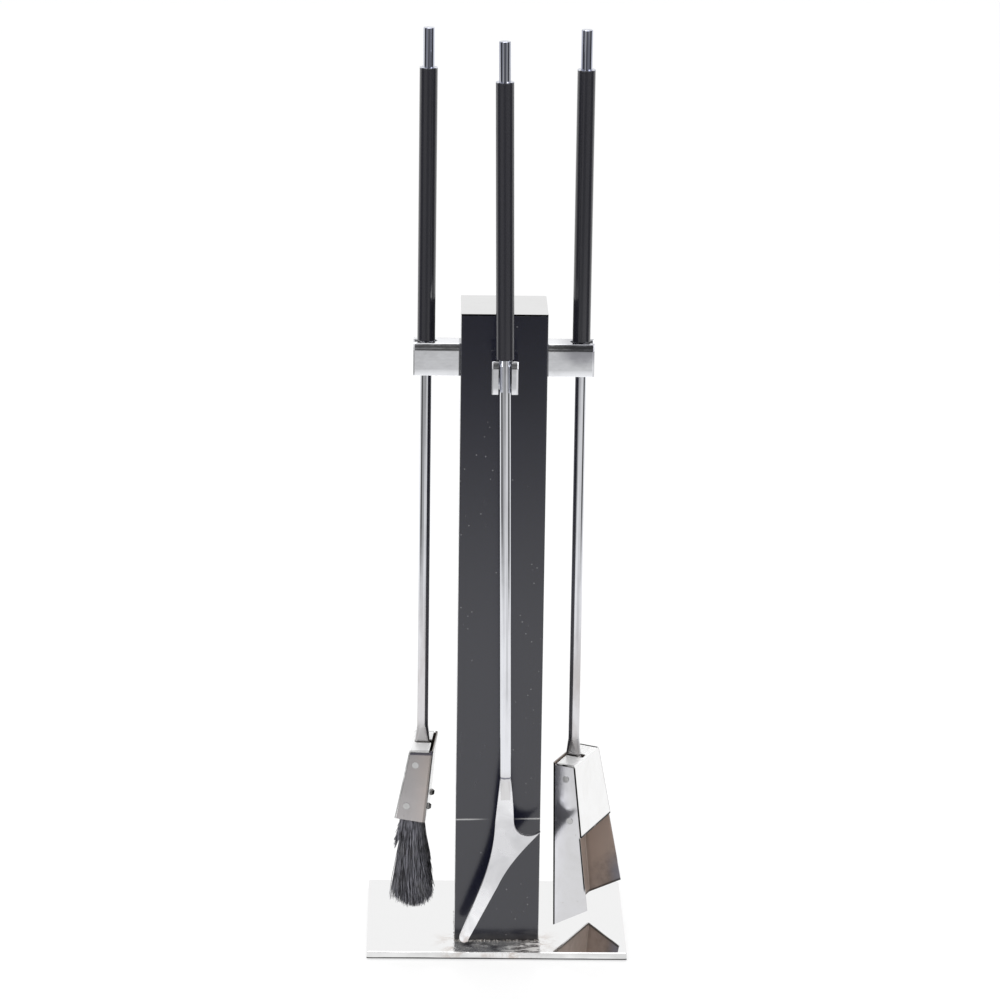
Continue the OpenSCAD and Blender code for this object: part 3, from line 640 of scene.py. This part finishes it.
# Share of the hair's length, with the tuft's back and front edges and half its width there
TUFT = ((0.00, 0.0042, 0.0186, 0.0335), (0.28, 0.0042, 0.0202, 0.0350),
        (0.45, 0.0028, 0.0214, 0.0355), (0.66, -0.0012, 0.0242, 0.0364),
        (0.88, -0.0060, 0.0264, 0.0368), (1.00, -0.0088, 0.0262, 0.0362))


def tuft_at(share):
    """Back edge, front edge and half width of the tuft at a share of its length."""
    for before, after in zip(TUFT, TUFT[1:]):
        if share <= after[0]:
            part = (share - before[0]) / (after[0] - before[0])
            return [a + (b - a) * part for a, b in zip(before[1:], after[1:])]
    return TUFT[-1][1:]


def hair(draw, short):
    """One hair's points: it follows the tuft's spread, with a bend and a ragged end."""
    # u runs from the tuft's back to its front and v across it; most hairs stand at the rim
    u, v = draw.uniform(-1, 1), draw.uniform(-1, 1)
    rim = draw.random()
    if rim < 0.3:
        v = math.copysign(draw.uniform(0.9, 1.0), v)
    elif rim < 0.6:
        u = math.copysign(draw.uniform(0.88, 1.0), u)
    # The ends form a dome, and the tuft's corners are rounded
    end = 1.04 - 0.1 * abs(u) ** 3 - 0.15 * abs(v - 0.35) ** 2.2 - abs(draw.gauss(0, 0.04))
    stray = draw.uniform(1.03, 1.34) if draw.random() < STRAY else draw.uniform(0.94, 1.01)
    u *= 1 - 0.5 * max(0, (abs(v) - 0.8) / 0.2) ** 2
    kick = 0.0
    if short:
        u, end, kick = draw.uniform(0.85, 1.0), draw.uniform(0.26, 0.37), KICK
    bend = [draw.gauss(0, BEND) for _ in range(2)]
    points = []
    for step in range(HAIR_POINTS):
        share = end * step / (HAIR_POINTS - 1)
        back, front, half = tuft_at(share)
        spread = 1 + (stray - 1) * share
        # At the back, hairs stray less, so that they stay clear of the column
        reach = spread if u > 0 else 1 + (spread - 1) * 0.4
        x = (front + back) / 2 + (front - back) / 2 * u * reach + kick * (share / end) ** 2
        y = half * v * (1 + (spread - 1) * 0.3)
        sway = math.sin(math.pi * share)
        points.append(brush_frame @ Vector((x + bend[0] * sway, y + bend[1] * sway,
                                            -HAIR_ROOT - HAIR_L * share)))
    return points


def bristles(finish):
    """The tuft's hairs, over a core of the plain solid made narrower, in its place."""
    draw = random.Random(11)
    data = bpy.data.curves.new("hairs", "CURVE")
    data.dimensions = "3D"
    data.bevel_depth = HAIR_R
    data.bevel_resolution = 0
    data.use_fill_caps = True
    data.materials.append(finish)
    for number in range(HAIRS):
        points = hair(draw, short=number % SHORT_EVERY == 0)
        line = data.splines.new("POLY")
        line.points.add(len(points) - 1)
        for point, place in zip(line.points, points):
            point.co = (*place, 1)
            point.radius = draw.uniform(0.8, 1.15)
        line.points[-1].radius = 0.5
    hairs = bpy.data.objects.new("hairs", data)
    bpy.context.scene.collection.objects.link(hairs)
    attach(hairs, "brush")
    shape = solid_copy("brush_bristles")
    low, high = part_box("brush_bristles")
    centre = (low + high) / 2
    bmesh.ops.scale(shape, verts=shape.verts, vec=CORE,
                    space=Matrix.Translation(-Vector((centre.x, centre.y, high.z))))
    new_piece("hair_core", shape, finish, "brush")
    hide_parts("brush_bristles")


def weld_crumbs():
    """Crumbs of scale and ash in the corner between the column and the plate."""
    draw = random.Random(5)
    plate_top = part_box("base_plate")[1].z
    centre_y = seat_of("brush").y
    shape = bmesh.new()
    # The front, side 0, has more and larger crumbs
    for side in range(4):
        turn = Matrix.Rotation(side * math.pi / 2, 4, "Z")
        crumbs, largest = (110, 0.9) if side == 0 else (22, 0.45)
        for _ in range(crumbs):
            size = draw.uniform(0.2, largest) * MM
            along = draw.uniform(-1, 1) * (COLUMN_HALF + MM)
            out = COLUMN_HALF + abs(draw.gauss(0, largest)) * MM
            place = turn @ Vector((along, -out, 0)) + Vector((0, centre_y, plate_top))
            place += Vector((0, 0, size * draw.uniform(0.2, 0.7)))
            crumb = bmesh.ops.create_icosphere(shape, subdivisions=1, radius=size,
                                               matrix=Matrix.Translation(place))
            for point in crumb["verts"]:
                point.co += Vector(draw.uniform(-0.3, 0.3) * size for _ in range(3))
                point.co.z = max(point.co.z, plate_top)
    new_piece("weld_crumbs", shape, crumb_finish(), "stand")


# ---- Which piece gets which finish ----

blade_finish = satin_steel()
hair_finish = horsehair()
pin_finish = pin_steel()
brush_top = brush_frame.to_translation().z
shovel_top = shovel_frame.to_translation().z
blade_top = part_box("poker_blade")[1].z
finishes = {
    "base_plate": polished_plate(), "base_pad": felt(),
    "column_tube": black_paint(), "column_cap": cap_steel(),
    "brush_case": channel_steel(
        "case_sheet", brush_frame,
        wall_colours=((0.61, 0.535, 0.50, 1), (0.50, 0.48, 0.485, 1)),
        inner_colours=((0.25, 0.22, 0.2, 1), (0.1, 0.09, 0.08, 1)),
        rough=0.16, sole=CASE_SOLE, burn_and_painted_shade=0.5, rim=0.8),
    "shovel_pan": channel_steel(
        "pan_sheet", shovel_frame,
        wall_colours=((0.85, 0.85, 0.92, 1), (0.67, 0.67, 0.69, 1)),
        inner_colours=((0.46, 0.365, 0.315, 1), (0.17, 0.14, 0.13, 1)),
        rough=0.09, sole=PAN_SOLE, burn_and_painted_shade=1.0),
    "brush_hood": hood_steel("brush_hood_sheet", brush_frame, BRUSH_HOOD_L, edge_and_seam_shade=0.35),
    "shovel_hood": hood_steel("shovel_hood_sheet", shovel_frame, SHOVEL_HOOD_L, edge_and_seam_shade=1.0,
                              near_seam=0.35),
    "brush_pins": pin_finish, "shovel_pins": pin_finish,
    "brush_rod": rod_steel("brush_rod_steel", brush_top, warmth=1.3),
    "shovel_rod": rod_steel("shovel_rod_steel", shovel_top, warmth=1.0, tone=0.22),
    "poker_rod": rod_steel("poker_rod_steel", blade_top - POKER_DROP, tone=0.66, seam=0.8),
    "poker_blade": blade_finish, "brush_block": beech(), "brush_bristles": hair_finish,
}
rod_finish = rod_steel("rod_steel")
grip_finish = black_lacquer()
inner_finish = dark_steel()
for name, piece in frame["nodes"].items():
    if name.startswith("bracket_") and name != "bracket_bolts":
        finish = bracket_steel(name)
    elif name.endswith("_sleeve"):
        finish = grip_finish
    elif name.endswith(("_rod", "_washer", "_top_bush")) and name not in finishes:
        finish = rod_finish
    else:
        finish = finishes.get(name, inner_finish)
    for slot in piece.material_slots:
        slot.material = finish

eased_blade(blade_finish)
bristles(hair_finish)
weld_crumbs()


# ---- Studio ----

NOT_ZERO = 0.0001   # keeps a division by a distance safe at the centre


def lamp(name, place, aim, size, power):
    """A soft oblong lamp turned to its aim, with its size in metres and power in watts."""
    data = bpy.data.lights.new(name, "AREA")
    data.shape = "RECTANGLE"
    data.size, data.size_y = size
    data.energy = power
    made = bpy.data.objects.new(name, data)
    made.location = place
    made.rotation_euler = (Vector(aim) - Vector(place)).to_track_quat("-Z", "Y").to_euler()
    bpy.context.scene.collection.objects.link(made)


def seen_or_mirrored(tree):
    """Two masks: 1 for what the camera sees, and 1 for what a reflection sees."""
    camera_ray = tree.node("ShaderNodeLightPath", out="Is Camera Ray")
    mirror_ray = tree.node("ShaderNodeLightPath", out="Is Glossy Ray")
    return camera_ray, mirror_ray


def over(share, level, cover):
    """level where share is 0 and cover where it is 1."""
    return level + share * (cover - level)


AMBIENT = 0.6       # the world's plain light on the set


def world():
    """White behind the set and overhead, and a dim room with a pale band in front."""
    made = bpy.data.worlds.new("studio")
    bpy.context.scene.world = made
    tree = Tree(made, "Generated")
    camera_ray, mirror_ray = seen_or_mirrored(tree)
    x, y, z = (tree.axis(letter) for letter in "XYZ")
    flat = (x * x + y * y + NOT_ZERO) ** 0.5
    band = tree.between(z, 0.115, 0.135) * tree.between(z, 0.225, 0.205)
    high = tree.between(z, 0.33, 0.42)
    room = 0.06 + band * 0.16 + high * 0.85
    sides = tree.between(z, 0.1, 0.2, 0.22, 0.7)
    front = over(tree.between(tree.size_of(x / flat), 0.35, 0.5), room, sides)
    mirrored = over(tree.between(y / flat, 0.10, 0.24), front, 1.0)
    plain = (1 - mirror_ray) * AMBIENT + mirror_ray * mirrored
    level = camera_ray + (1 - camera_ray) * plain
    tree.link(level, "Background", "Strength")
    tree.nodes.nodes["Background"].inputs["Color"].default_value = (1, 1, 1, 1)


FLOOR_REACH = 30    # half the floor's side


def floor():
    """A wide pale floor that shows as white but keeps the set's shadow. Reflections see it
    white near the set and behind it, and dimmer further off in front and at the sides."""
    mesh = bpy.data.meshes.new("floor")
    shape = bmesh.new()
    bmesh.ops.create_grid(shape, x_segments=1, y_segments=1, size=FLOOR_REACH)
    shape.to_mesh(mesh)
    shape.free()
    made = bpy.data.objects.new("floor", mesh)
    bpy.context.scene.collection.objects.link(made)
    f = Finish("floor", Base_Color=grey(0.88), Roughness=0.3)
    camera_ray, mirror_ray = seen_or_mirrored(f)
    x, y = f.axis("X"), f.axis("Y")
    far = (x * x + y * y + NOT_ZERO) ** 0.5
    side = x / far
    # What is mirrored straight ahead, to the right of that, to the left, and at both sides
    level = f.between(y, -0.9, -2.75, 1.0, 0.12)
    level = over(f.between(side, 0.15, 0.25), level, f.between(far, 2.1, 2.9, 0.76, 0.3))
    level = over(f.between(side, -0.26, -0.36), level, f.between(far, 0.9, 1.5, 1.0, 0.38))
    level = over(f.between(f.size_of(side), 0.85, 0.89), level,
                 f.between(far, 1.0, 1.5, 1.0, 0.05))
    # White behind the set, and all round it close by
    level = over(f.between(y / far, 0.10, 0.24), level, 1.0)
    level = f.larger(level, f.between(far, 0.95, 0.85))
    glow = f.node("ShaderNodeEmission", None,
                  {"Strength": camera_ray * f.between(far, 0.4, 1.6, 1.1, 1.2)
                   + (1 - camera_ray) * level})
    share = f.larger(camera_ray * 0.62, mirror_ray * 0.95)
    shown = f.node("ShaderNodeMixShader", None,
                   {0: share, 1: Value(f, f.shader.outputs[0]), 2: glow})
    f.link(shown, "Material Output", "Surface")
    mesh.materials.append(f.material)


SENSOR_MM = 36
LENS_MM = 159.02
CAMERA_PLACE = (-0.0753, -3.8307, 1.4418)
CAMERA_TURNS = (1.112, 15.146, 0.797)  # to the right, down and rolled, in degrees


def camera():
    """A long lens in front of the column, turned, tipped and rolled a little."""
    data = bpy.data.cameras.new("camera")
    data.sensor_width = SENSOR_MM
    data.lens = LENS_MM
    made = bpy.data.objects.new("camera", data)
    yaw, down, roll = (math.radians(angle) for angle in CAMERA_TURNS)
    turn = (Matrix.Rotation(-yaw, 4, "Z") @ Matrix.Rotation(math.pi / 2 - down, 4, "X")
            @ Matrix.Rotation(roll, 4, "Z"))
    made.matrix_world = Matrix.Translation(CAMERA_PLACE) @ turn
    bpy.context.scene.collection.objects.link(made)
    bpy.context.scene.camera = made


world()
floor()
lamp("key", place=(-1.6, -1.8, 2.2), aim=(0, 0, 0.4), size=(1.4, 1.4), power=30)
lamp("fill", place=(1.9, -1.4, 1.6), aim=(0, 0, 0.4), size=(1.4, 1.8), power=18)
lamp("top", place=(0, 0.3, 2.6), aim=(0, 0, 0), size=(1.6, 1.6), power=22)
camera()
bpy.context.scene.view_settings.view_transform = "Standard"
